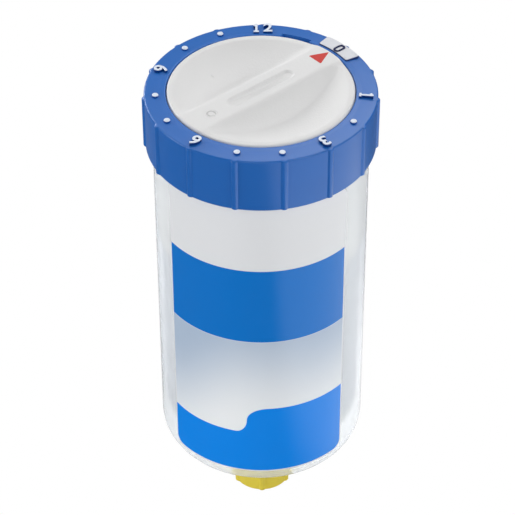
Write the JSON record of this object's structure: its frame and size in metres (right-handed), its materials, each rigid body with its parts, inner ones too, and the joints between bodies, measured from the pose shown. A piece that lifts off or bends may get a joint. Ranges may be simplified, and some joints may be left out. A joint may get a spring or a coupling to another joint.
{
  "type": "automatic lubricator",
  "caption": "Clear oil container with a piston and a screw-capped outlet neck, under a ribbed grip ring with a selector dial and a sealed gas drive.",
  "frame": {"origin": "on the axis at the container's underside, where the outlet neck begins", "axes": "+Z along the axis towards the selector dial, -Y towards the label; the outlet neck points along -Z"},
  "size_m": [0.0539, 0.0537, 0.1225],
  "materials": {
    "clear_wall": "clear gloss",
    "label_print": "gloss film",
    "blue_moulding": "satin gloss",
    "white_moulding": "satin",
    "oil": "clear liquid",
    "seal_rubber": "matte",
    "board": "satin solder mask",
    "gold_contact": "gold plated",
    "chip_black": "satin",
    "grey_moulding": "matte",
    "cell_can": "nickel plated",
    "contact_metal": "nickel plated",
    "screw_steel": "zinc plated",
    "dial_moulding": "fine matte",
    "red_inlay": "satin",
    "piston_moulding": "satin",
    "yellow_moulding": "satin",
    "pale_seal": "matte"
  },
  "bodies": {
    "housing": {"container": "clear_wall", "label": "label_print", "grip_ring": "blue_moulding", "zero_flag": "white_moulding", "oil_charge": "oil", "drive_housing": "white_moulding", "housing_seal": "seal_rubber", "circuit_board": "board", "contact_tracks": "gold_contact", "timing_resistors": "chip_black", "cell_carrier": "grey_moulding", "gas_cells": "cell_can", "button_cells": "cell_can", "contact_strips": "contact_metal", "contact_springs": "gold_contact", "port_seals": "seal_rubber", "drive_cover": "grey_moulding", "carrier_screws": "screw_steel"},
    "dial": {"selector_dial": "dial_moulding", "dial_arrow": "red_inlay", "stem_seal": "seal_rubber", "retaining_clip": "screw_steel", "wiper": "gold_contact"},
    "piston": {"piston": "piston_moulding", "piston_seals": "seal_rubber"},
    "cap": {"outlet_cap": "yellow_moulding", "cap_seal": "pale_seal"}
  },
  "joints": [
    {"name": "dial_turn", "type": "hinge", "parent": "housing", "child": "dial", "pos_m": [0, 0, 0.1], "axis": [0, 0, -1], "range_deg": [0, 312]},
    {"name": "piston_travel", "type": "slide", "parent": "housing", "child": "piston", "axis": [0, 0, -1], "range_m": [0, 0.0483], "deforming": ["oil_charge"]},
    {"name": "cap_pull", "type": "slide", "parent": "housing", "child": "cap", "axis": [0, 0, -1], "range_m": [0, 0.03]}
  ]
}
